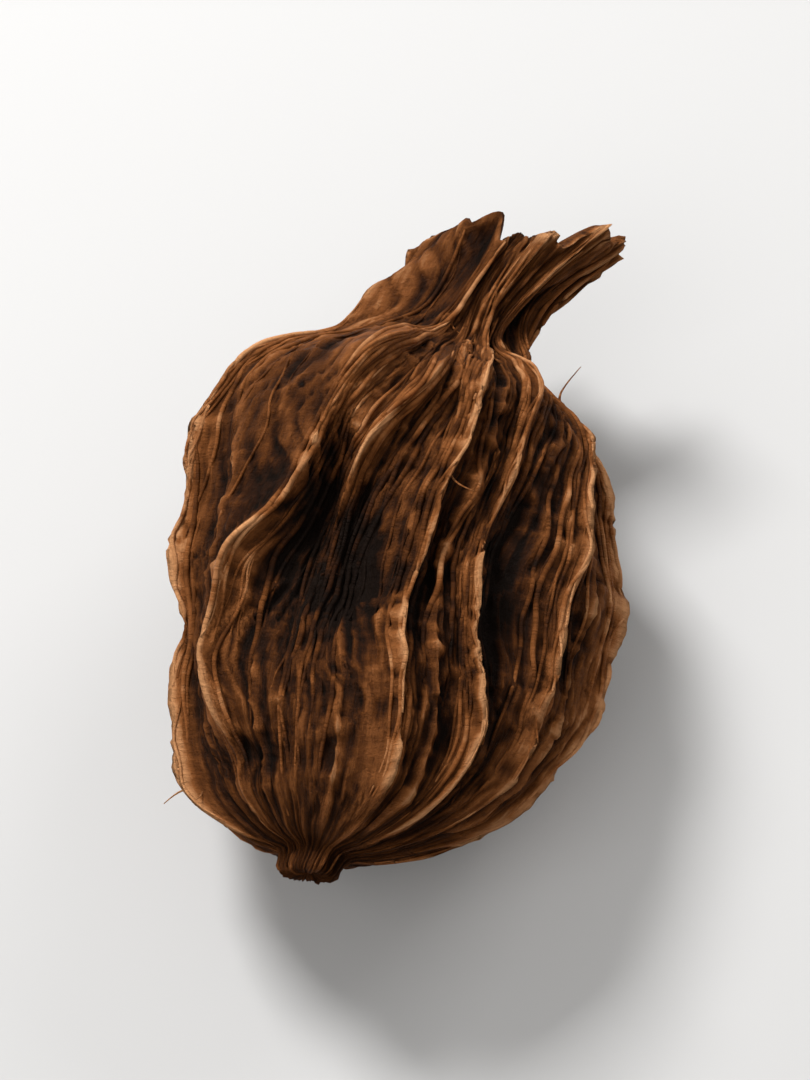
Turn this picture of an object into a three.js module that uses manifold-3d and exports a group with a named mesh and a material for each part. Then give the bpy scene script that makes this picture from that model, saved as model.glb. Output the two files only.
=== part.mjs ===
// A dried black cardamom pod, lying on its side. Millimetres, +Z up.
//
// The pod is one closed skin round a slightly bent axis, with its stalk end to -Y and its calyx to +Y.
// A lathe-like profile gives the girth along the axis. Lengthwise ribs, dents and the torn calyx rim are
// raised from it by formulas, and the mesh's columns follow the ribs, so that every crest is a clean edge.
// A flat spot on the underside, where the pod rests, is cut off by a plane.

import * as THREE from "three";
import { mergeVertices } from "three/addons/utils/BufferGeometryUtils.js";
import Module from "manifold-3d";

// Driving dimensions
const WIDTH = 13.0; // across the body between the ribs, side to side
const THICKNESS = 11.0; // through the body between the ribs, top to bottom
const REST_SINK = 0.9; // how much of the underside the flat resting spot takes off

// Girth along the axis: [distance from the stalk end, share of half the width], from the stalk's broken end
// over the body and the calyx neck to the bottom of the calyx cup
const PROFILE = [
  [0.2, 0.0],
  [0.0, 0.11],
  [0.8, 0.15],
  [1.2, 0.32],
  [2.6, 0.6],
  [5.4, 0.86],
  [9.4, 0.98],
  [13.4, 1.0],
  [16.6, 0.93],
  [18.2, 0.69],
  [19.4, 0.46],
  [20.8, 0.33],
  [22.4, 0.33],
  [23.8, 0.39],
  [23.5, 0.22],
  [21.6, 0.0],
];
const NECK_KNOT = 10; // where the body ends and the calyx neck begins
const RIM_KNOT = 13; // the profile's point on the calyx rim
const BODY_MIDDLE = 12.0; // the axis is straight here and bends towards both ends
const NECK_BEND = 2.1; // sideways reach of the bend at the calyx, to the right
const STALK_BEND = 0.8; // sideways reach of the bend at the stalk, to the left
const BEND_UP = 0.9; // lift of both ends

// Ribs. Angles are in degrees round the axis, from the right side (0) over the top (90) to the left side
// (180): at the stalk end, at the middle and at the neck. A rib leans towards the next one, or away from it
// if its lean is below 0. Sharpness below 0.5 makes it a thin wing, and above that a rolled fold.
const RIBS = [
  { angles: [-4, 2, -2], height: 1.1, lean: -0.3, sharpness: 0.45 },
  { angles: [12, 27, 20], height: 0.9, lean: -0.3, sharpness: 0.5 },
  { angles: [34, 55, 44], height: 1.2, lean: 0.2, sharpness: 0.4 },
  { angles: [64, 87, 66], height: 1.4, lean: -0.3, sharpness: 0.45 },
  { angles: [106, 118, 80], height: 1.3, lean: -0.2, sharpness: 0.38 },
  { angles: [148, 137, 91], height: 1.6, lean: -0.3, sharpness: 0.75 },
  { angles: [172, 168, 150], height: 1.5, lean: 0.2, sharpness: 0.5 },
  { angles: [192, 193, 180], height: 1.0, lean: 0.3, sharpness: 0.45 },
  { angles: [215, 216, 209], height: 0.8, lean: 0.3, sharpness: 0.5 },
  { angles: [240, 240, 236], height: 0.6, lean: 0.2, sharpness: 0.45 },
  { angles: [265, 264, 262], height: 0.5, lean: 0, sharpness: 0.5 },
  { angles: [289, 288, 289], height: 0.6, lean: -0.2, sharpness: 0.45 },
  { angles: [313, 312, 316], height: 0.8, lean: -0.3, sharpness: 0.5 },
  { angles: [338, 337, 342], height: 1.0, lean: 0.3, sharpness: 0.45 },
];
const STALK_ROUTE = [0, 0.45]; // shares of the length over which a rib leaves its angle at the stalk
const NECK_ROUTE = [0.3, 0.85]; // shares of the length over which it takes up its angle at the neck
const RIB_SWAY = 3.5; // degrees that a rib wanders to either side
const MINOR_SHARPNESS = 0.45; // of the small rib in each valley
const MINOR_RIB_HEIGHT = 0.35;
const LEAST_MINOR = 0.4; // share of that height that the lowest of them has
const FULL_GIRTH = 0.7; // ribs and dents fade where the girth is less than this
const SHORT_RIB = 4; // this rib only crosses the upper part of the front hollow
const SHORT_RIB_MIDDLE = 13.6; // its middle along the axis
const SHORT_RIB_REACH = 4.8; // how far it runs to either side of its middle

// Dents where the husk has sunk: angle and distance along the axis of the middle, half-widths, depth.
// A swelling's depth is negative.
const DENTS = [
  { angle: 110, along: 9.8, spread: 23, reach: 4.0, depth: 3.0 },
  { angle: 75, along: 10.5, spread: 10, reach: 5.0, depth: 0.6 },
  { angle: 46, along: 11.0, spread: 13, reach: 5.0, depth: 1.0 },
  { angle: 155, along: 13.0, spread: 10, reach: 5.0, depth: 0.6 },
  { angle: 178, along: 7.0, spread: 16, reach: 3.4, depth: 0.7 },
  { angle: 204, along: 14.0, spread: 17, reach: 4.0, depth: 1.0 },
  { angle: 236, along: 8.0, spread: 16, reach: 3.6, depth: 0.6 },
  { angle: 325, along: 12.0, spread: 19, reach: 4.6, depth: 1.1 },
  { angle: 15, along: 16.0, spread: 14, reach: 3.0, depth: 0.7 },
  { angle: 150, along: 20.8, spread: 38, reach: 1.7, depth: -2.2 },
  { angle: 130, along: 3.0, spread: 32, reach: 0.8, depth: 0.5 },
  { angle: 104, along: 16.4, spread: 8, reach: 2.4, depth: -0.7 },
];

// Calyx: a collapsed, pleated neck with three torn lobes on its rim
const LOBES = [
  { angle: 15, spread: 34, length: 1.0, flare: 1.5 },
  { angle: 120, spread: 30, length: 0.6, flare: 0.3 },
  { angle: 250, spread: 36, length: 0.9, flare: 0.2 },
];
const RIM_REACH = 1.1; // knots to either side of the rim over which the lobes and teeth fade
const TOOTH_LENGTH = 0.22; // of the small teeth between the lobes
const TOOTH_WAVES = [
  { count: 11, start: 0 },
  { count: 17, start: 0.3 },
]; // round the rim; their sum makes the teeth uneven
const PLEATS = 5; // folds of the neck
const PLEAT_DEPTH = 0.36;
const PLEAT_TWIST = 0.14; // pleats a millimetre that the folds wind round the neck
const PLEAT_UNEVENNESS = 0.12; // share of a pleat by which their spacing varies
const UNEVEN_COUNT = 2; // how often it varies round the neck
const UNEVEN_LENGTH = 7; // how far along the neck that goes once round
const SLIM_GIRTH = 0.2; // pleats and flare fade where the girth is less than this
const NECK_FLATTENING = 0.3; // share by which the neck has collapsed from top to bottom

// Mesh
const COLUMNS_PER_RIB = 8;
const CROWDING = 0.07; // how far columns crowd towards the crests, as a share of the gap between two ribs
const ROWS_PER_KNOT = [1, 1, 1, 2, 4, 6, 5, 5, 4, 3, 3, 2, 2, 1, 2];

const DEGREE = Math.PI / 180;
const LAP = 2 * Math.PI;
const COLUMNS = RIBS.length * COLUMNS_PER_RIB;
const LENGTH = Math.max(...PROFILE.map(([along]) => along));
const GOLDEN = 0.6180339887;

// Waves of a rib's wandering and of its height: size, count over the pod's length, and step of the starts,
// which are scattered
const SWAY_WAVES = [
  { size: 0.6, count: 0.9, step: GOLDEN },
  { size: 0.4, count: 2.3, step: Math.SQRT2 },
  { size: 0.16, count: 5.1, step: Math.E },
];
const HEIGHT_WAVES = [
  { size: 0.2, count: 1.7, step: GOLDEN },
  { size: 0.12, count: 5.7, step: Math.E },
];
const MEAN_HEIGHT = 0.8; // of a rib, as a share of its full height

// Broad lumps of the dried body, which is three-sided within: size, lumps round it and along it, start
const LUMPS = [
  { size: 0.35, around: 2, along: 0.7, start: 0.1 },
  { size: 0.4, around: 3, along: -0.6, start: 0.5 },
];

// The kth of an even scatter of numbers from 0 to 1; each kind of draw has its own step.
const scatter = (k, step) => (k * step + 0.5) % 1;
const wave = (turns) => Math.sin(LAP * turns);
const bell = (x) => Math.exp(-x * x);
const { smoothstep } = THREE.MathUtils;
const between = (a, b, share) => a + (b - a) * share;
// The turn from one angle to another, in degrees from -180 to 180
const turn = (from, to) => ((((to - from) % 360) + 540) % 360) - 180;
// A crest at 0 that runs out into a round valley at 1
const crest = (x, sharpness) => 1 - Math.sin((Math.PI / 2) * Math.min(1, Math.abs(x))) ** sharpness;

// The sum of a rib's waves at a share of the pod's length
function waves(list, rib, share) {
  return list.reduce((sum, { size, count, step }) => {
    return sum + size * wave(count * share + scatter(rib, step));
  }, 0);
}

// The angle of a rib, in degrees, at a distance along the axis: a smooth route through its three angles, on
// which it wanders
function ribAngle(rib, along) {
  const k = rib % RIBS.length;
  const share = along / LENGTH;
  const [stalk, middle, neck] = RIBS[k].angles;
  const nearStalk = 1 - smoothstep(share, ...STALK_ROUTE);
  const nearNeck = smoothstep(share, ...NECK_ROUTE);
  const route = middle + (stalk - middle) * nearStalk + (neck - middle) * nearNeck;
  return route + 360 * Math.floor(rib / RIBS.length) + RIB_SWAY * waves(SWAY_WAVES, k, share);
}

// The height of a rib, which rises and sinks along its length
function ribHeight(rib, along) {
  const k = rib % RIBS.length;
  const uneven = MEAN_HEIGHT + waves(HEIGHT_WAVES, k, along / LENGTH);
  const short = k === SHORT_RIB ? bell((along - SHORT_RIB_MIDDLE) / SHORT_RIB_REACH) : 1;
  return RIBS[k].height * uneven * short;
}

// How deep the husk has sunk at an angle and a distance along the axis
function dentDepth(angle, along) {
  return DENTS.reduce((sum, dent) => {
    const across = turn(dent.angle, angle) / dent.spread;
    return sum + dent.depth * bell(across) * bell((along - dent.along) / dent.reach);
  }, 0);
}

// How far the lumps raise the husk
function lumpHeight(angle, along) {
  const [turns, share] = [angle / 360, along / LENGTH];
  return LUMPS.reduce((sum, lump) => {
    return sum + lump.size * wave(lump.around * turns + lump.along * share + lump.start);
  }, 0);
}

// The skin's point in a column (whole numbers are rib crests) at a place on the profile (0 to 1)
const profile = new THREE.SplineCurve(PROFILE.map(([along, girth]) => new THREE.Vector2(along, girth)));
function skinPoint(column, place) {
  const knot = place * (PROFILE.length - 1);
  let { x: along, y: girth } = profile.getPoint(place);
  girth = Math.max(0, girth);
  const rib = Math.floor(column);
  const gap = column - rib;
  const nearest = gap < 0.5 ? rib : rib + 1;
  const angle = between(ribAngle(rib, along), ribAngle(rib + 1, along), gap);

  // Ribs, with a small one in each valley, fade where the pod gets slim and stop at the calyx rim.
  const fullness = knot < RIM_KNOT ? Math.min(1, girth / FULL_GIRTH) : 0;
  const dent = dentDepth(angle, along);
  const { lean, sharpness } = RIBS[nearest % RIBS.length];
  const rise = fullness * ribHeight(nearest, along) * crest(2 * Math.min(gap, 1 - gap), sharpness);
  const minorHeight = MINOR_RIB_HEIGHT * (LEAST_MINOR + scatter(rib, Math.E)) * bell(Math.max(0, dent));
  const minor = fullness * minorHeight * crest(4 * (gap - 0.5), MINOR_SHARPNESS);
  const sunken = fullness * (lumpHeight(angle, along) - dent);

  // The neck is pleated, and the rim is torn into lobes that flare out.
  const neck = smoothstep(knot, NECK_KNOT - 1, NECK_KNOT + 1);
  const rim = bell((knot - RIM_KNOT) / RIM_REACH);
  const turns = angle / 360;
  const uneven = PLEAT_UNEVENNESS * wave(UNEVEN_COUNT * turns + along / UNEVEN_LENGTH);
  const pleat = PLEAT_DEPTH * neck * Math.cos(LAP * (PLEATS * turns + PLEAT_TWIST * along + uneven));
  let flare = 0;
  for (const tooth of TOOTH_WAVES) along += TOOTH_LENGTH * rim * wave(tooth.count * turns + tooth.start);
  for (const lobe of LOBES) {
    const share = rim * bell(turn(lobe.angle, angle) / lobe.spread);
    along += lobe.length * share;
    flare += lobe.flare * share;
  }

  const folds = (pleat + flare) * Math.min(1, girth / SLIM_GIRTH);
  const reach = (girth * WIDTH) / 2 + rise + minor + sunken + folds;
  const a = angle * DEGREE + (lean * rise) / Math.max(1, reach);
  const flatness = (THICKNESS / WIDTH) * (1 - NECK_FLATTENING * neck);
  const end = (along - BODY_MIDDLE) / (LENGTH - BODY_MIDDLE);
  return new THREE.Vector3(
    reach * Math.cos(a) + (end > 0 ? NECK_BEND : STALK_BEND) * end ** 3,
    along,
    reach * Math.sin(a) * flatness + BEND_UP * end ** 2,
  );
}

// The columns stand closer together towards the crests, which are thin.
function columnAt(index) {
  const rib = Math.floor(index / COLUMNS_PER_RIB);
  const share = (index % COLUMNS_PER_RIB) / COLUMNS_PER_RIB;
  return rib + share - CROWDING * wave(share);
}

// The whole skin as a closed grid: a point at each end and rings of columns between them
function skinGeometry() {
  const places = ROWS_PER_KNOT.flatMap((rows, knot) =>
    Array.from({ length: rows }, (_, row) => (knot + row / rows) / (PROFILE.length - 1)),
  ).slice(1);
  const ring = Array.from({ length: COLUMNS }, (_, index) => columnAt(index));
  const rings = places.flatMap((place) => ring.map((column) => skinPoint(column, place)));
  const points = [skinPoint(0, 0), ...rings, skinPoint(0, 1)];

  const at = (row, column) => 1 + row * COLUMNS + (column % COLUMNS);
  const lastRow = places.length - 1;
  const faces = [];
  for (let column = 0; column < COLUMNS; column++) {
    faces.push(0, at(0, column), at(0, column + 1));
    for (let row = 0; row < lastRow; row++) {
      const [a, b] = [at(row, column), at(row, column + 1)];
      const [c, d] = [at(row + 1, column), at(row + 1, column + 1)];
      faces.push(a, c, b, b, c, d);
    }
    faces.push(at(lastRow, column), points.length - 1, at(lastRow, column + 1));
  }
  return new THREE.BufferGeometry().setFromPoints(points).setIndex(faces);
}

const wasm = await Module();
wasm.setup();

function toSolid(geometry) {
  const vertProperties = new Float32Array(geometry.attributes.position.array);
  const triVerts = new Uint32Array(geometry.index.array);
  return new wasm.Manifold(new wasm.Mesh({ numProp: 3, vertProperties, triVerts }));
}

function toGeometry(solid) {
  const { vertProperties, triVerts } = solid.getMesh();
  return new THREE.BufferGeometry()
    .setAttribute("position", new THREE.BufferAttribute(vertProperties, 3))
    .setIndex(new THREE.BufferAttribute(triVerts, 1));
}

// A block whose top face is at a height, wide enough to pass under the whole pod
function blockBelow(height) {
  const side = 3 * LENGTH;
  const block = new THREE.BoxGeometry(side, side, side).translate(0, 0, height - side / 2);
  block.deleteAttribute("normal");
  block.deleteAttribute("uv");
  return mergeVertices(block);
}

// The skin with the resting spot cut flat, moved so that the origin is under the middle of its box
function restingGeometry() {
  const skin = skinGeometry();
  skin.computeBoundingBox();
  const floor = skin.boundingBox.min.z + REST_SINK;
  const cut = toGeometry(toSolid(skin).subtract(toSolid(blockBelow(floor))));
  cut.computeBoundingBox();
  const { min, max } = cut.boundingBox;
  return cut.translate(-(min.x + max.x) / 2, -(min.y + max.y) / 2, -floor);
}

const husk = new THREE.MeshStandardMaterial({ color: 0x4f2e18, roughness: 0.7, metalness: 0 });
const pod = new THREE.Mesh(restingGeometry(), husk);
pod.name = "pod";

const part = new THREE.Group();
part.add(pod);
export default part;
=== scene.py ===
"""The looks of a dried black cardamom pod: a fine husk over the solid, loose fibres, studio light and camera.

The husk repeats the solid's formulas on a finer grid, in millimetres, and adds the strands, veins, wrinkles
and frayed crests that the solid leaves out. It is then scaled to metres and set onto the frame's pod.
"""

import math
import random

import bmesh
import bpy
import numpy as np
from mathutils import Matrix, Vector, noise


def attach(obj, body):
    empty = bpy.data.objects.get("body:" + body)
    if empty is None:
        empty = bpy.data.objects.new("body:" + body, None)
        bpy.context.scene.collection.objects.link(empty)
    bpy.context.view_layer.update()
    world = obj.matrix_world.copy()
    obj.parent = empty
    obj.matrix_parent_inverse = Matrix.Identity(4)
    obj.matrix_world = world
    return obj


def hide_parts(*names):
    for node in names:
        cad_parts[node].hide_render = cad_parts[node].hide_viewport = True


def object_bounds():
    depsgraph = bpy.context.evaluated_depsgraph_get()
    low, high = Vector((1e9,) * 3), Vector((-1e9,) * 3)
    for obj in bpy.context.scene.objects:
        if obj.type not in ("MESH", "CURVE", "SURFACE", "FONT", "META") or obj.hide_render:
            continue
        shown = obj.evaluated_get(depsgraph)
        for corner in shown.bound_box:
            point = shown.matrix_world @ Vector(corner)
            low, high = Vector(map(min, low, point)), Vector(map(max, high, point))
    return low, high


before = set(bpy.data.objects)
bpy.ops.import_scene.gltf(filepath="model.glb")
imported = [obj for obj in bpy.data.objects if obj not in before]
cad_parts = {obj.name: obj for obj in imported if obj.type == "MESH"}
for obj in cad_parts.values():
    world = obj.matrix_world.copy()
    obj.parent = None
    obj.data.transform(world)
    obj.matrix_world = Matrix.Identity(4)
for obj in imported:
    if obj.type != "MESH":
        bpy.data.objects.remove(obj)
cad_low, cad_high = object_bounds()

# Sizes of the pod, in millimetres, as in the solid
WIDTH = 13.0
THICKNESS = 11.0
PROFILE = np.array(
    [
        (0.2, 0.0),
        (0.0, 0.11),
        (0.8, 0.15),
        (1.2, 0.32),
        (2.6, 0.6),
        (5.4, 0.86),
        (9.4, 0.98),
        (13.4, 1.0),
        (16.6, 0.93),
        (18.2, 0.69),
        (19.4, 0.46),
        (20.8, 0.33),
        (22.4, 0.33),
        (23.8, 0.39),
        (23.5, 0.22),
        (21.6, 0.0),
    ]
)
NECK_KNOT = 10
RIM_KNOT = 13
BODY_MIDDLE = 12.0
NECK_BEND = 2.1
STALK_BEND = 0.8
BEND_UP = 0.9

# Ribs: angle at the stalk end, the middle and the neck, height, lean towards the next rib, and sharpness,
# which is below 0.5 for a thin wing and above it for a rolled fold
RIBS = np.array(
    [
        (-4, 2, -2, 1.1, -0.3, 0.45),
        (12, 27, 20, 0.9, -0.3, 0.5),
        (34, 55, 44, 1.2, 0.2, 0.4),
        (64, 87, 66, 1.4, -0.3, 0.45),
        (106, 118, 80, 1.3, -0.2, 0.38),
        (148, 137, 91, 1.6, -0.3, 0.75),
        (172, 168, 150, 1.5, 0.2, 0.5),
        (192, 193, 180, 1.0, 0.3, 0.45),
        (215, 216, 209, 0.8, 0.3, 0.5),
        (240, 240, 236, 0.6, 0.2, 0.45),
        (265, 264, 262, 0.5, 0.0, 0.5),
        (289, 288, 289, 0.6, -0.2, 0.45),
        (313, 312, 316, 0.8, -0.3, 0.5),
        (338, 337, 342, 1.0, 0.3, 0.45),
    ]
)
STALK_ROUTE = (0, 0.45)  # shares of the length over which a rib leaves its angle at the stalk
NECK_ROUTE = (0.3, 0.85)  # shares of the length over which it takes up its angle at the neck
RIB_SWAY = 3.5
MINOR_SHARPNESS = 0.45
MINOR_RIB_HEIGHT = 0.35
LEAST_MINOR = 0.4  # share of that height that the lowest of them has
FULL_GIRTH = 0.7  # ribs and dents fade where the girth is less than this
SHORT_RIB = 4
SHORT_RIB_MIDDLE = 13.6
SHORT_RIB_REACH = 4.8

# Dents: angle and place of the middle, half-widths in degrees and millimetres, and depth, which is negative
# for a swelling
DENTS = [
    (110, 9.8, 23, 4.0, 3.0),
    (75, 10.5, 10, 5.0, 0.6),
    (46, 11.0, 13, 5.0, 1.0),
    (155, 13.0, 10, 5.0, 0.6),
    (178, 7.0, 16, 3.4, 0.7),
    (204, 14.0, 17, 4.0, 1.0),
    (236, 8.0, 16, 3.6, 0.6),
    (325, 12.0, 19, 4.6, 1.1),
    (15, 16.0, 14, 3.0, 0.7),
    (150, 20.8, 38, 1.7, -2.2),
    (130, 3.0, 32, 0.8, 0.5),
    (104, 16.4, 8, 2.4, -0.7),
]

# Calyx lobes: angle of the middle, half-width in degrees, length, flare
LOBES = [
    (15, 34, 1.0, 1.5),
    (120, 30, 0.6, 0.3),
    (250, 36, 0.9, 0.2),
]
RIM_REACH = 1.1  # knots to either side of the rim over which the lobes and teeth fade
TOOTH_LENGTH = 0.22
TOOTH_WAVES = [(11, 0), (17, 0.3)]  # count round the rim, start
PLEATS = 5
PLEAT_DEPTH = 0.36
PLEAT_TWIST = 0.14  # pleats a millimetre
PLEAT_UNEVENNESS = 0.12  # share of a pleat by which their spacing varies
UNEVEN_COUNT = 2  # how often it varies round the neck
UNEVEN_LENGTH = 7  # how far along the neck that goes once round
SLIM_GIRTH = 0.2  # pleats and flare fade where the girth is less than this
NECK_FLATTENING = 0.3

# Grid
ROWS_PER_KNOT = [1, 1, 1, 2, 4, 6, 5, 5, 4, 3, 3, 2, 2, 1, 2]
SOLID_COLUMNS_PER_RIB = 8
HUSK_COLUMNS_PER_RIB = 34
HUSK_ROWS_PER_SOLID_ROW = 4
CROWDING = 0.07  # how far columns crowd towards the crests, as a share of the gap between two ribs

# Fine relief of the husk, in millimetres
CREST_FRAY = 0.10  # share by which a crest rises and sinks within a millimetre or two
CREST_JITTER = 0.9  # degrees by which a crest wavers
BLADE_HEIGHT = 0.06  # of the thin papery edge on a crest, as a share of the rib's height
BLADE_WIDTH = 0.05  # of that edge, as a share of the gap between two ribs
GRAIN_WANDER = 0.6  # sideways, from the ribs' course
STRAND_RELIEF = 0.15
STRAND_LEVEL = 0.6  # value of the strands' noise at which the husk stays where it is
CRUMPLE_RELIEF = 0.30
VEIN_RELIEF = 0.16
VEIN_WIDTH = 0.10  # as a share of a cell in the net of veins
CROSS_WRINKLE = 0.10
END_RELIEF = 0.3  # share of the relief that is left on the calyx, where ribs and dents have faded
GROOVE_STEEPNESS = 2.6  # how soon the noise is at its full height beside a sunken line

# Its grain, which follows a plain cylinder: waves a millimetre across it (twice) and along it
GRAIN_RADIUS = 0.45 * WIDTH
FALLOFF = 1.0  # of the finer waves
FINER = 2.1  # times as many waves in each octave as in the one before it
FRAY_GRAIN = (0.5, 0.5, 1.5)
JITTER_GRAIN = (0.3, 0.3, 0.8)
WANDER_GRAIN = (0.25, 0.25, 0.3)
STRAND_GRAIN = (2.2, 2.2, 0.12)
CRUMPLE_GRAIN = (0.6, 0.6, 0.22)
VEIN_GRAIN = (0.7, 0.7, 0.26)
WRINKLE_GRAIN = (0.4, 0.4, 1.3)

# What the colour follows
CREST_LIGHTENING = 0.10  # how much the nearness of a crest counts in the worn, light tone
PAINTED_DENT_SHADE = 0.22  # how much a dent's depth counts in the painted shade of the hollows
WEAR_AND_SHADE_BLUR = 10  # passes: height above the close surroundings, for crest wear and painted crease shade
HOLLOW_SHADE_BLUR = 900  # passes: painted shade where the husk lies below the wide surroundings

COUNT = len(RIBS)
KNOTS = len(PROFILE) - 1
LENGTH = PROFILE[:, 0].max()
GOLDEN = 0.6180339887
MM = 0.001

# Waves of a rib's wandering and of its height: size, count over the pod's length, and step of the starts,
# which are scattered
SWAY_WAVES = [(0.6, 0.9, GOLDEN), (0.4, 2.3, math.sqrt(2)), (0.16, 5.1, math.e)]
HEIGHT_WAVES = [(0.2, 1.7, GOLDEN), (0.12, 5.7, math.e)]
MEAN_HEIGHT = 0.8

# Broad lumps of the dried body, which is three-sided within: size, lumps round it and along it, start
LUMPS = [(0.35, 2, 0.7, 0.1), (0.4, 3, -0.6, 0.5)]


def scatter(k, step):
    """The kth of an even scatter of numbers from 0 to 1; each kind of draw has its own step."""
    return (k * step + 0.5) % 1


def wave(turns):
    return np.sin(2 * np.pi * turns)


def bell(x):
    return np.exp(-x * x)


def turn(start, end):
    """The turn from one angle to another, in degrees from -180 to 180."""
    return (end - start + 180) % 360 - 180


def crest(x, sharpness):
    """1 on a crest at 0, running out into a round valley at 1."""
    return 1 - np.sin(np.pi / 2 * np.minimum(1, np.abs(x))) ** sharpness


def smoothstep(x, low, high):
    t = np.clip((x - low) / (high - low), 0, 1)
    return t * t * (3 - 2 * t)


def profile_at(places):
    """Distance along the axis and girth at places 0 to 1 of the profile, on a Catmull-Rom curve."""
    knot = places * KNOTS
    i = np.minimum(knot.astype(int), KNOTS - 1)
    t = (knot - i)[:, None]
    before, start = PROFILE[np.maximum(i - 1, 0)], PROFILE[i]
    end, after = PROFILE[i + 1], PROFILE[np.minimum(i + 2, KNOTS)]
    leave, arrive = (end - before) / 2, (after - start) / 2
    cubic = (2 * start - 2 * end + leave + arrive) * t**3
    square = (3 * end - 3 * start - 2 * leave - arrive) * t**2
    point = cubic + square + leave * t + start
    return point[:, 0], np.maximum(0, point[:, 1])


def waves(table, rib, share):
    """The sum of a rib's waves at a share of the pod's length."""
    return sum(size * wave(count * share + scatter(rib, step)) for size, count, step in table)


def rib_angle(rib, along):
    """The angle of a rib: a smooth route through its three angles, on which it wanders."""
    k = rib % COUNT
    share = along / LENGTH
    stalk, middle, neck = RIBS[k, 0], RIBS[k, 1], RIBS[k, 2]
    near_stalk, near_neck = 1 - smoothstep(share, *STALK_ROUTE), smoothstep(share, *NECK_ROUTE)
    route = middle + (stalk - middle) * near_stalk + (neck - middle) * near_neck
    return route + 360 * (rib // COUNT) + RIB_SWAY * waves(SWAY_WAVES, k, share)


def rib_height(rib, along):
    """The height of a rib, which rises and sinks along its length."""
    k = rib % COUNT
    uneven = MEAN_HEIGHT + waves(HEIGHT_WAVES, k, along / LENGTH)
    short = np.where(k == SHORT_RIB, bell((along - SHORT_RIB_MIDDLE) / SHORT_RIB_REACH), 1)
    return RIBS[k, 3] * uneven * short


def dent_depth(angle, along):
    """How deep the husk has sunk."""
    return sum(
        depth * bell(turn(middle, angle) / spread) * bell((along - place) / reach)
        for middle, place, spread, reach, depth in DENTS
    )


def lump_height(angle, along):
    """How far the lumps raise the husk."""
    turns, share = angle / 360, along / LENGTH
    return sum(size * wave(around * turns + far * share + start) for size, around, far, start in LUMPS)


def skin(columns, places, fray=0.0, jitter=0.0, blade=0.0):
    """The skin's points for a row of columns and a list of places, with the facts that the looks use.

    Whole columns are rib crests. fray raises and lowers the crests, jitter turns them aside and blade adds a
    thin edge to them: each is a number for every point, or 0, as on the solid.
    """
    along, girth = (x[:, None] for x in profile_at(places))
    knot = (places * KNOTS)[:, None]
    rib = np.floor(columns).astype(int)[None, :]
    gap = columns[None, :] - rib
    nearest = np.where(gap < 0.5, rib, rib + 1)
    left, right = rib_angle(rib, along), rib_angle(rib + 1, along)
    angle = left + (right - left) * gap + jitter

    fullness = np.where(knot < RIM_KNOT, np.minimum(1, girth / FULL_GIRTH), 0)
    off_crest = np.minimum(gap, 1 - gap)
    crested = crest(2 * off_crest, RIBS[nearest % COUNT, 5])
    shape = crested * (1 + fray) + blade * bell(off_crest / BLADE_WIDTH)
    rise = fullness * rib_height(nearest, along) * shape
    dent = dent_depth(angle, along)
    minor_height = MINOR_RIB_HEIGHT * (LEAST_MINOR + scatter(rib % COUNT, math.e)) * bell(np.maximum(0, dent))
    minor = fullness * minor_height * crest(4 * (gap - 0.5), MINOR_SHARPNESS)
    sunken = fullness * (lump_height(angle, along) - dent)

    neck = smoothstep(knot, NECK_KNOT - 1, NECK_KNOT + 1)
    rim = bell((knot - RIM_KNOT) / RIM_REACH)
    turns = angle / 360
    uneven = PLEAT_UNEVENNESS * wave(UNEVEN_COUNT * turns + along / UNEVEN_LENGTH)
    pleat = PLEAT_DEPTH * neck * np.cos(2 * np.pi * (PLEATS * turns + PLEAT_TWIST * along + uneven))
    flare = 0
    for count, start in TOOTH_WAVES:
        along = along + TOOTH_LENGTH * rim * wave(count * turns + start)
    for middle, spread, length, flared in LOBES:
        share = rim * bell(turn(middle, angle) / spread)
        along = along + length * share
        flare = flare + flared * share

    folds = (pleat + flare) * np.minimum(1, girth / SLIM_GIRTH)
    raised = rise + minor + sunken + folds
    reach = girth * WIDTH / 2 + raised
    a = np.radians(angle) + RIBS[nearest % COUNT, 4] * rise / np.maximum(1, reach)
    flatness = THICKNESS / WIDTH * (1 - NECK_FLATTENING * neck)
    end = (along - BODY_MIDDLE) / (LENGTH - BODY_MIDDLE)
    x = reach * np.cos(a) + np.where(end > 0, NECK_BEND, STALK_BEND) * end**3
    z = reach * np.sin(a) * flatness + BEND_UP * end**2
    points = np.stack([x, along + 0 * x, z], axis=-1)
    facts = {"raised": raised, "sunk": fullness * dent, "fullness": fullness, "crest": crested}
    return points, {name: fact + 0 * raised for name, fact in facts.items()}


def ring_columns(per_rib):
    """Columns of one ring, closer together towards the crests, which are thin."""
    index = np.arange(COUNT * per_rib)
    share = index % per_rib / per_rib
    return index // per_rib + share - CROWDING * wave(share)


def ring_places(finer):
    """Places of the rings along the profile, without the two end points."""
    places = []
    for knot, rows in enumerate(ROWS_PER_KNOT):
        fine_rows = rows * finer
        places.extend((knot + np.arange(fine_rows) / fine_rows) / KNOTS)
    return np.array(places[1:])


def place_in_frame():
    """The move from the formula's place to the frame's, in millimetres: the highest corners coincide."""
    solid, _ = skin(ring_columns(SOLID_COLUMNS_PER_RIB), ring_places(1))
    return np.array(cad_high) / MM - solid.max(axis=(0, 1))


# Husk


def grain_space(columns, places):
    """A seamless space that follows the ribs: a plain cylinder with the pod's mean radius, in millimetres."""
    angle = 2 * np.pi * columns[None, :] / COUNT
    along = profile_at(places)[0][:, None]
    parts = [GRAIN_RADIUS * np.cos(angle), GRAIN_RADIUS * np.sin(angle), along]
    return np.stack([part + 0 * angle + 0 * along for part in parts], axis=-1)


def sampled(function, points, scale):
    """A function of one point, at every point of a grid in scaled space."""
    scaled = points * np.array(scale)
    return np.array([function(Vector(p)) for p in scaled.reshape(-1, 3)]).reshape(points.shape[:-1])


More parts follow.
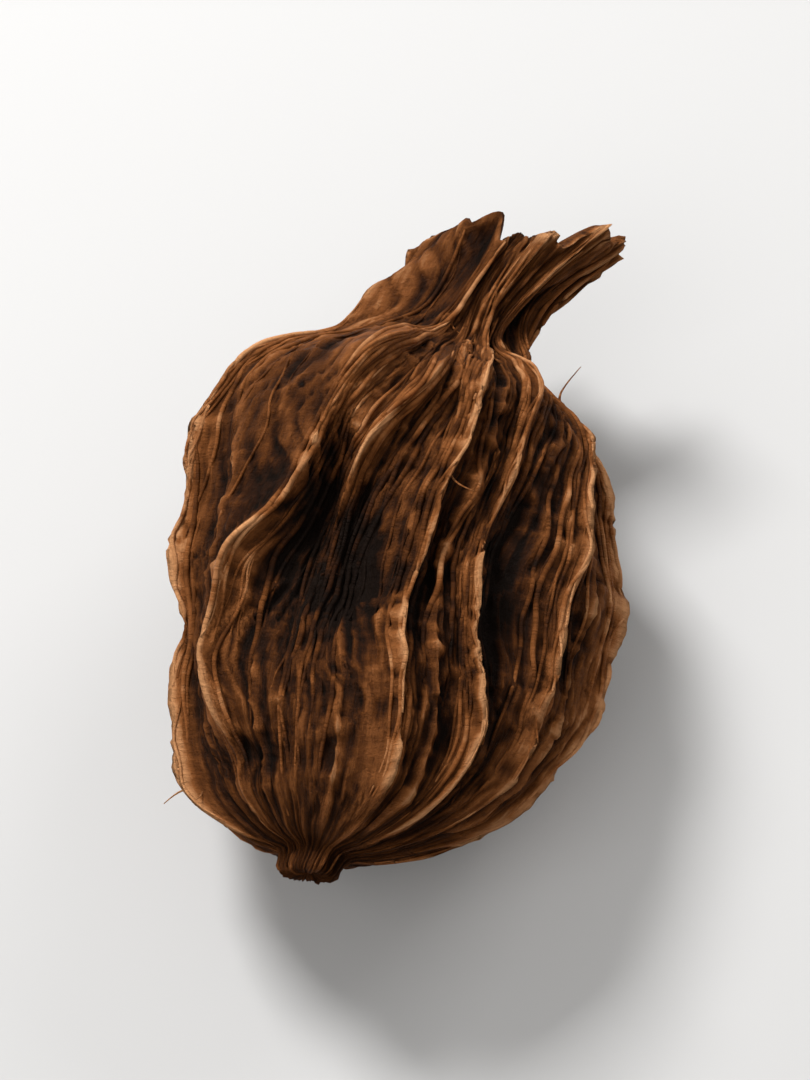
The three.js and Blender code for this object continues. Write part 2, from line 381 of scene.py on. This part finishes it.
def fractal(points, scale, octaves):
    """Smooth noise of about -1 to 1."""
    return sampled(lambda p: noise.fractal(p, FALLOFF, FINER, octaves), points, scale)


def grooves(points, scale, octaves):
    """Noise with thin sunken lines: 0 on a line, rising to 1 between the lines."""
    return np.minimum(1, GROOVE_STEEPNESS * np.abs(fractal(points, scale, octaves)))


def vein_edge(point):
    """How far a point is from the border of its cell in a net of cells; 0 on the border."""
    distances, _ = noise.voronoi(point)
    return distances[1] - distances[0]


def spread_out(field, passes):
    """The field blurred over neighbouring points, round the rings and along the rows."""
    for _ in range(passes):
        padded = np.pad(field, ((1, 1), (0, 0)), mode="edge")
        around = np.roll(field, 1, axis=1) + np.roll(field, -1, axis=1)
        field = (field + around + padded[:-2] + padded[2:]) / 5
    return field


def unit(vectors):
    return vectors / np.maximum(1e-9, np.linalg.norm(vectors, axis=-1, keepdims=True))


def grid_normals(points):
    """The outward normal at each point of a grid of rings."""
    around = np.roll(points, -1, axis=1) - np.roll(points, 1, axis=1)
    padded = np.concatenate([points[:1], points, points[-1:]])
    lengthwise = padded[2:] - padded[:-2]
    return unit(np.cross(lengthwise, around))


def husk_grid():
    """The husk's rings of points, with the fields that its colour follows."""
    columns = ring_columns(HUSK_COLUMNS_PER_RIB)
    places = ring_places(HUSK_ROWS_PER_SOLID_ROW)
    grain = grain_space(columns, places)
    fray = CREST_FRAY * fractal(grain, FRAY_GRAIN, 3)
    jitter = CREST_JITTER * fractal(grain, JITTER_GRAIN, 2)
    points, facts = skin(columns, places, fray, jitter, BLADE_HEIGHT)

    wander = GRAIN_WANDER * fractal(grain, WANDER_GRAIN, 2)[..., None]
    wavy = grain + wander * np.array([1, 1, 0])
    strands = grooves(wavy, STRAND_GRAIN, 3)
    crumple = fractal(wavy, CRUMPLE_GRAIN, 3)
    veins = bell(sampled(vein_edge, wavy, VEIN_GRAIN) / VEIN_WIDTH)
    across = 1 - grooves(wavy, WRINKLE_GRAIN, 2)

    between_ribs = CRUMPLE_RELIEF * crumple + VEIN_RELIEF * veins + CROSS_WRINKLE * across**2
    relief = STRAND_RELIEF * (strands - STRAND_LEVEL) + (1 - facts["crest"]) * between_ribs
    relief = relief * (END_RELIEF + (1 - END_RELIEF) * facts["fullness"])
    points = points + grid_normals(points) * relief[..., None]

    height = facts["raised"] + relief
    crest_light = CREST_LIGHTENING * facts["crest"] * facts["fullness"]
    fields = {
        # lighter on the crests from wear; darker in the creases beside them, which is painted shade
        "wear_and_crease_shade": height - spread_out(height, WEAR_AND_SHADE_BLUR) + crest_light,
        # painted shade: darker where the husk lies below its wide surroundings and in the dents
        "painted_hollow_shade": spread_out(height, HOLLOW_SHADE_BLUR) - height + PAINTED_DENT_SHADE * facts["sunk"],
        # the strands' grain; in the colour its sunken lines are darker, which is painted shade
        "strands": strands,
    }
    return points, grain, fields


def closed_grid(name, rings, strip=(0, 1)):
    """A mesh of rings of points, closed by a point at the middle of its first and last ring.

    Its map for baking is the grid laid flat, in a strip of the map's width.
    """
    rows, columns = rings.shape[:2]
    ends = [rings[0].mean(axis=0), rings[-1].mean(axis=0)]
    vertices = np.concatenate([rings.reshape(-1, 3), ends])
    first, last = rows * columns, rows * columns + 1
    faces, corners = [], []
    for column in range(columns):
        after = (column + 1) % columns
        faces.append((first, after, column))
        corners += [(column + 0.5, 0), (column + 1, 1), (column, 1)]
        for row in range(rows - 1):
            a, b = row * columns + column, row * columns + after
            faces.append((a, b, b + columns, a + columns))
            corners += [(column, row + 1), (column + 1, row + 1), (column + 1, row + 2), (column, row + 2)]
        faces.append((last, (rows - 1) * columns + column, (rows - 1) * columns + after))
        corners += [(column + 0.5, rows + 1), (column, rows), (column + 1, rows)]
    mesh = bpy.data.meshes.new(name)
    mesh.from_pydata(vertices.tolist(), [], faces)
    flat = np.array(corners) / (columns, rows + 1)
    flat[:, 0] = strip[0] + (strip[1] - strip[0]) * flat[:, 0]
    mesh.uv_layers.new(name="OFBake").data.foreach_set("uv", flat.ravel())
    return mesh


def add_fields(mesh, grain, fields):
    """Stores the fields on the mesh's points; the two end points take the mean of their ring."""
    ends = [0, -1]
    for name, field in fields.items():
        values = np.concatenate([field.ravel(), field[ends].mean(axis=1)])
        mesh.attributes.new(name, "FLOAT", "POINT").data.foreach_set("value", values)
    vectors = np.concatenate([grain.reshape(-1, 3), grain[ends].mean(axis=1)])
    mesh.attributes.new("grain", "FLOAT_VECTOR", "POINT").data.foreach_set("vector", vectors.ravel())


def cut_flat(mesh):
    """Cuts off what is below the resting surface and closes the flat spot."""
    cutter = bmesh.new()
    cutter.from_mesh(mesh)
    everything = list(cutter.verts) + list(cutter.edges) + list(cutter.faces)
    cut = bmesh.ops.bisect_plane(
        cutter, geom=everything, plane_co=(0, 0, 0), plane_no=(0, 0, 1), clear_inner=True
    )
    rim = [part for part in cut["geom_cut"] if isinstance(part, bmesh.types.BMEdge)]
    spot = bmesh.ops.holes_fill(cutter, edges=rim, sides=0)["faces"]
    lay_on_map(spot, cutter.loops.layers.uv["OFBake"])
    bmesh.ops.triangulate(cutter, faces=spot)
    bmesh.ops.recalc_face_normals(cutter, faces=cutter.faces)
    cutter.to_mesh(mesh)
    cutter.free()


def lay_on_map(spot, layer):
    """Gives new faces the place on the map that their corners have in the faces beside them."""
    for face in spot:
        for corner in face.loops:
            beside = next(other for other in corner.vert.link_loops if other.face not in spot)
            corner[layer].uv = beside[layer].uv


def add_piece(name, mesh, material):
    piece = bpy.data.objects.new(name, mesh)
    bpy.context.scene.collection.objects.link(piece)
    mesh.materials.append(material)
    mesh.shade_smooth()
    return piece


# Materials
NOISE_RANGE = (0.28, 0.72)  # of a noise node's usual values
LENGTHWISE = (1, 1, 0.07)  # draws noise out into streaks along the ribs
BUMP_HEIGHT = 0.14 * MM
ROUGHNESS = (0.5, 0.85)


def screen(red, green, blue):
    """A colour given in screen values of 0 to 255, as the shader takes it."""
    shares = [value / 255 for value in (red, green, blue)]
    return [s / 12.92 if s <= 0.04045 else ((s + 0.055) / 1.055) ** 2.4 for s in shares] + [1.0]


class Nodes:
    """A short way to write a material's node tree."""

    def __init__(self, name):
        self.material = bpy.data.materials.new(name)
        self.material.use_nodes = True
        self.tree = self.material.node_tree
        self.shader = self.tree.nodes["Principled BSDF"]

    def set(self, **inputs):
        """Sets the shader's own inputs."""
        for name, value in inputs.items():
            self.put(self.shader.inputs[name.replace("_", " ")], value)

    def put(self, socket, value):
        if isinstance(value, bpy.types.NodeSocket):
            self.tree.links.new(value, socket)
        else:
            socket.default_value = value

    def add(self, kind, values, **settings):
        """A node with its settings; values are its inputs in order: constants or other nodes' outputs."""
        node = self.tree.nodes.new(kind)
        for key, value in settings.items():
            setattr(node, key, value)
        for socket, value in zip(node.inputs, values):
            self.put(socket, value)
        return node

    def attribute(self, name, output="Fac"):
        return self.add("ShaderNodeAttribute", [], attribute_name=name).outputs[output]

    def stretched(self, vector, stretch):
        return self.add("ShaderNodeVectorMath", [vector, stretch], operation="MULTIPLY").outputs[0]

    def noise(self, vector, scale, detail, roughness):
        """Noise from 0 to 1, spread over the whole of that range."""
        node = self.add("ShaderNodeTexNoise", [])
        inputs = {"Vector": vector, "Scale": scale, "Detail": detail, "Roughness": roughness}
        for name, value in inputs.items():
            self.put(node.inputs[name], value)
        return self.span(node.outputs["Fac"], *NOISE_RANGE, 0, 1)

    def span(self, value, low, high, start, end):
        """The value's range from low to high, turned into start to end."""
        return self.add("ShaderNodeMapRange", [value, low, high, start, end]).outputs["Result"]

    def weighted(self, *terms):
        """The sum of values times their weights."""
        total = 0.0
        for value, weight in terms:
            total = self.add("ShaderNodeMath", [value, weight, total], operation="MULTIPLY_ADD").outputs[0]
        return total

    def times(self, first, second):
        return self.add("ShaderNodeMath", [first, second], operation="MULTIPLY").outputs[0]

    def ramp(self, value, stops):
        node = self.add("ShaderNodeValToRGB", [value])
        elements = node.color_ramp.elements
        while len(elements) < len(stops):
            elements.new(0.5)
        for element, (place, colour) in zip(elements, stops):
            element.position = place
            element.color = colour
        return node.outputs["Color"]

    def bump(self, height, strength, distance, normal=None):
        node = self.add("ShaderNodeBump", [strength, distance])
        self.put(node.inputs["Height"], height)
        if normal:
            self.put(node.inputs["Normal"], normal)
        return node.outputs["Normal"]


def husk_material():
    """Dried fibrous husk: tan and worn on the crests, dark brown beside them; painted shade darkens the
    creases and makes the hollows almost black.
    """
    nodes = Nodes("husk_fibre")
    grain = nodes.attribute("grain", "Vector")
    lengthwise = nodes.stretched(grain, LENGTHWISE)
    streaks = nodes.noise(lengthwise, 1.5, 6, 0.7)
    hairlines = nodes.noise(lengthwise, 4.0, 5, 0.7)
    patches = nodes.noise(grain, 0.35, 5, 0.6)
    specks = nodes.noise(grain, 2.6, 6, 0.75)
    # crest wear lightens the tone; the creases' low values darken it, which is painted shade
    wear_and_crease_shade = nodes.span(nodes.attribute("wear_and_crease_shade"), -0.10, 0.34, 0, 1)
    # painted shade in the hollows and dents, which darkens the tone to almost black
    painted_hollow_shade = nodes.span(nodes.attribute("painted_hollow_shade"), -0.5, 1.4, 0, 1)
    tone = nodes.weighted(
        (wear_and_crease_shade, 0.36),
        (nodes.times(wear_and_crease_shade, streaks), 0.34),
        (streaks, 0.14),
        (hairlines, 0.30),
        (specks, 0.16),
        (patches, 0.12),
        # darker in the strands' sunken lines: painted shade over the strands' own grain
        (nodes.attribute("strands"), 0.16),
        (painted_hollow_shade, -0.50),
    )
    colour = nodes.ramp(
        tone,
        [
            (0.16, screen(20, 9, 3)),
            (0.34, screen(52, 26, 8)),
            (0.54, screen(94, 52, 20)),
            (0.74, screen(138, 83, 42)),
            (1.0, screen(194, 138, 92)),
        ],
    )
    rough = nodes.weighted((hairlines, 0.5), (specks, 0.5))
    normal = nodes.bump(hairlines, 1.0, BUMP_HEIGHT)
    normal = nodes.bump(specks, 1.0, BUMP_HEIGHT, normal)
    nodes.set(Base_Color=colour, Roughness=nodes.span(rough, 0.2, 0.8, *ROUGHNESS), Normal=normal)
    nodes.set(Specular_IOR_Level=0.08)
    return nodes.material


# Fibres: strands that lie half sunk in the husk, and loose ends that have come away from it. Their rows and
# columns are those of the husk's grid.
FIBRE_SEED = 7
FIBRE_SIDES = 6
FIBRE_ROOM = 0.3  # how far a fibre may stand out of the solid's box

STRANDS = 250
STRAND_RADII = (0.05, 0.11)
STRAND_ROWS = (30, 120)
STRAND_STEP = 1.4  # rows
STRAND_MARGIN = 6  # rows at the stalk and the calyx that have no strands
STRANDS_ON_CRESTS = 0.55  # share of the strands
CREST_SPREAD = 4  # columns by which these scatter about a crest
STRAND_SWAY = (1.0, 2.5)  # columns
STRAND_SWAY_ROWS = (40, 90)
STRAND_RIPPLE = 0.5  # columns
STRAND_RIPPLE_ROWS = (9, 18)
STRAND_END = 0.4  # radius at the ends, as a share of the radius in the middle
STRAND_SINK = 1.1  # radii that the ends lie below the husk
STRAND_LIFT = 1.5  # radii that the middle lies above the ends
STRAND_SMOOTHING = 3  # passes
STREAK_SHIFT = 9  # how far a strand's streaks may lie from those of the husk, in millimetres
STRAND_LIGHTER = 0.07  # added to the husk's field of crest wear and painted crease shade beneath

LOOSE_ENDS = 26
LOOSE_RADIUS = 0.05
LOOSE_TIP = 0.3  # radius at the tip, as a share of the radius at the root
LOOSE_ROOT = 1.5  # radii that the root lies below the husk
LOOSE_STEPS = 14
LOOSE_STEP_LENGTHS = (0.05, 0.12)
LOOSE_SHARES = (0.12, 0.9)  # of the rows, between which they grow
LOOSE_OFF_CREST = 2  # columns
LOOSE_AHEAD = 4  # rows over which the crest's direction is taken
LOOSE_LIFT = 0.12  # share of the first heading that leads away from the husk
LOOSE_BEND = 0.3  # to either side, at each step
LOOSE_BEND_CHANGE = 0.15
LOOSE_DROP = (-0.07, -0.02)  # towards the husk, at each step
LOOSE_WEAR = 0.25


def between(grid, rows, columns):
    """Values of a grid of rings between its points; every row below the last."""
    row, column = np.floor(rows).astype(int), np.floor(columns).astype(int)
    shape = (-1,) + (1,) * (grid.ndim - 2)
    down, over = (rows - row).reshape(shape), (columns - column).reshape(shape)
    near, far = column % grid.shape[1], (column + 1) % grid.shape[1]
    start = grid[row, near] * (1 - over) + grid[row, far] * over
    end = grid[row + 1, near] * (1 - over) + grid[row + 1, far] * over
    return start * (1 - down) + end * down


def smoothed(path, passes):
    """A path with its small jogs evened out; its ends stay."""
    for _ in range(passes):
        path = np.concatenate([path[:1], (path[:-2] + 2 * path[1:-1] + path[2:]) / 4, path[-1:]])
    return path


def tube(path, up, radii):
    """Rings of points round a path; up is a direction that the path doesn't take."""
    heading = np.gradient(path, axis=0)
    across = unit(np.cross(heading, up))
    over = unit(np.cross(across, heading))
    angles = 2 * np.pi * np.arange(FIBRE_SIDES) / FIBRE_SIDES
    circle = np.cos(angles)[:, None] * across[:, None] + np.sin(angles)[:, None] * over[:, None]
    return path[:, None] + radii[:, None, None] * circle


def strand(draw, rings, normals, grain, fields):
    """A fibre in the husk: it wanders along a crest or a flank, and both its ends sink in."""
    total, around = rings.shape[:2]
    span = draw.uniform(*STRAND_ROWS)
    start = draw.uniform(STRAND_MARGIN, total - STRAND_MARGIN - span)
    rows = np.arange(start, start + span, STRAND_STEP)
    if draw.random() < STRANDS_ON_CRESTS:
        column = draw.randrange(COUNT) * HUSK_COLUMNS_PER_RIB + draw.gauss(0, CREST_SPREAD)
    else:
        column = draw.uniform(0, around)
    sway = draw.uniform(*STRAND_SWAY) * wave(rows / draw.uniform(*STRAND_SWAY_ROWS) + draw.random())
    columns = column + sway + STRAND_RIPPLE * wave(rows / draw.uniform(*STRAND_RIPPLE_ROWS))

    bulge = np.sin(np.pi * np.linspace(0, 1, len(rows)))
    radii = draw.uniform(*STRAND_RADII) * (STRAND_END + (1 - STRAND_END) * bulge)
    up = between(normals, rows, columns)
    path = smoothed(between(rings, rows, columns), STRAND_SMOOTHING)
    path = path + up * (radii * (STRAND_LIFT * np.sqrt(bulge) - STRAND_SINK))[:, None]
    shifts = [draw.uniform(-STREAK_SHIFT, STREAK_SHIFT) for _ in range(2)]
    facts = {name: between(field, rows, columns) for name, field in fields.items()}
    facts["wear_and_crease_shade"] = facts["wear_and_crease_shade"] + STRAND_LIGHTER
    return tube(path, up, radii), between(grain, rows, columns) + np.array(shifts + [0]), facts


def loose_end(draw, rings, normals, grain, fields):
    """A fibre that has come away from a crest: it starts in the husk, lifts off a little and curls."""
    total, around = rings.shape[:2]
    crest_column = draw.randrange(COUNT) * HUSK_COLUMNS_PER_RIB
    column = (crest_column + draw.randint(-LOOSE_OFF_CREST, LOOSE_OFF_CREST)) % around
    row = int(total * draw.uniform(*LOOSE_SHARES))
    start, out = rings[row, column], normals[row, column]
    ahead = unit(rings[min(total - 1, row + LOOSE_AHEAD), column] - start)
    side = np.cross(ahead, out)
    heading = ahead * draw.choice((-1, 1)) + LOOSE_LIFT * out
    bend, drop = draw.uniform(-LOOSE_BEND, LOOSE_BEND), draw.uniform(*LOOSE_DROP)
    step = draw.uniform(*LOOSE_STEP_LENGTHS)
    path = [start - LOOSE_ROOT * LOOSE_RADIUS * out]
    for _ in range(LOOSE_STEPS):
        heading = unit(heading + bend * side + drop * out)
        bend += draw.uniform(-LOOSE_BEND_CHANGE, LOOSE_BEND_CHANGE)
        path.append(path[-1] + step * heading)
    path = np.array(path)
    radii = LOOSE_RADIUS * np.linspace(1, LOOSE_TIP, len(path))
    facts = {name: np.full(len(path), field[row, column]) for name, field in fields.items()}
    facts["wear_and_crease_shade"] = np.full(len(path), LOOSE_WEAR)
    return tube(path, out, radii), grain[row, column] + path - start, facts


def within_room(points):
    """Whether points stay above the resting surface and close to the solid's box."""
    low, high = np.array(cad_low) / MM - FIBRE_ROOM, np.array(cad_high) / MM + FIBRE_ROOM
    low[2] = 0
    return bool((points >= low).all() and (points <= high).all())


def fibre_mesh(rings, grain, fields):
    """All the fibres in one mesh, with the same fields as the husk."""
    draw = random.Random(FIBRE_SEED)
    normals = grid_normals(rings)
    joined = bmesh.new()
    made = 0
    while made < STRANDS + LOOSE_ENDS:
        kind = strand if made < STRANDS else loose_end
        points, place, facts = kind(draw, rings, normals, grain, fields)
        if not within_room(points):
            continue
        strip = (made / (STRANDS + LOOSE_ENDS), (made + 1) / (STRANDS + LOOSE_ENDS))
        single = closed_grid("fibre", points, strip)
        spread = {name: np.repeat(fact[:, None], FIBRE_SIDES, axis=1) for name, fact in facts.items()}
        add_fields(single, np.repeat(place[:, None], FIBRE_SIDES, axis=1), spread)
        joined.from_mesh(single)
        bpy.data.meshes.remove(single)
        made += 1
    mesh = bpy.data.meshes.new("fibres")
    joined.to_mesh(mesh)
    joined.free()
    return mesh


# Pieces
rings, grain, fields = husk_grid()
rings = rings + place_in_frame()
husk_skin = closed_grid("husk", rings)
add_fields(husk_skin, grain, fields)
cut_flat(husk_skin)
fibre_skin = fibre_mesh(rings, grain, fields)
for mesh in (husk_skin, fibre_skin):
    mesh.transform(Matrix.Scale(MM, 4))
fibrous = husk_material()
husk = add_piece("pod_husk", husk_skin, fibrous)
fibres = add_piece("pod_fibres", fibre_skin, fibrous)
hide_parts("pod")
for piece in (husk, fibres):
    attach(piece, "root")

# Stage
FLOOR_HALF = 2.0
FLOOR_DROP = 0.02 * MM  # keeps the floor clear of the flat resting spot
FLOOR_COLOUR = (0.55, 0.545, 0.54, 1)
KEY_LIGHT = {"azimuth": -135, "elevation": 45, "distance": 0.30, "size": 0.09, "power": 1.1}
FILL_LIGHT = {"azimuth": -40, "elevation": 50, "distance": 0.35, "size": 0.25, "power": 0.35}
RIM_LIGHT = {"azimuth": 150, "elevation": 30, "distance": 0.30, "size": 0.15, "power": 0.3}
CAMERA_VIEW = {"azimuth": 9, "elevation": 64, "distance": 0.112}
FOCAL_LENGTH = 110
NEAREST_SEEN = 0.005
SKY_COLOUR = (1.0, 0.99, 0.97, 1)
SKY_STRENGTH = 0.35

middle = (Vector(cad_low) + Vector(cad_high)) / 2


def stand(thing, azimuth, elevation, distance):
    """Sets a light or a camera round the pod, looking at its middle; azimuth 0 looks along +Y."""
    a, e = math.radians(azimuth), math.radians(elevation)
    away = Vector((math.sin(a) * math.cos(e), -math.cos(a) * math.cos(e), math.sin(e)))
    thing.location = middle + distance * away
    thing.rotation_euler = away.to_track_quat("Z", "Y").to_euler()
    bpy.context.scene.collection.objects.link(thing)


def soft_light(name, azimuth, elevation, distance, size, power):
    lamp = bpy.data.lights.new(name, "AREA")
    lamp.size = size
    lamp.energy = power
    stand(bpy.data.objects.new(name, lamp), azimuth, elevation, distance)


def pale_floor():
    corners = [(x * FLOOR_HALF, y * FLOOR_HALF, -FLOOR_DROP) for x, y in ((-1, -1), (1, -1), (1, 1), (-1, 1))]
    mesh = bpy.data.meshes.new("floor")
    mesh.from_pydata(corners, [], [(0, 1, 2, 3)])
    paper = Nodes("floor_paper")
    paper.set(Base_Color=FLOOR_COLOUR, Roughness=0.7)
    return add_piece("floor", mesh, paper.material)


pale_floor()
soft_light("key", **KEY_LIGHT)
soft_light("fill", **FILL_LIGHT)
soft_light("rim", **RIM_LIGHT)

world = bpy.data.worlds.new("studio")
world.use_nodes = True
background = world.node_tree.nodes["Background"]
background.inputs["Color"].default_value = SKY_COLOUR
background.inputs["Strength"].default_value = SKY_STRENGTH
bpy.context.scene.world = world
bpy.context.scene.view_settings.view_transform = "Standard"

lens = bpy.data.cameras.new("camera")
lens.lens = FOCAL_LENGTH
lens.clip_start = NEAREST_SEEN
camera = bpy.data.objects.new("camera", lens)
stand(camera, **CAMERA_VIEW)
bpy.context.scene.camera = camera
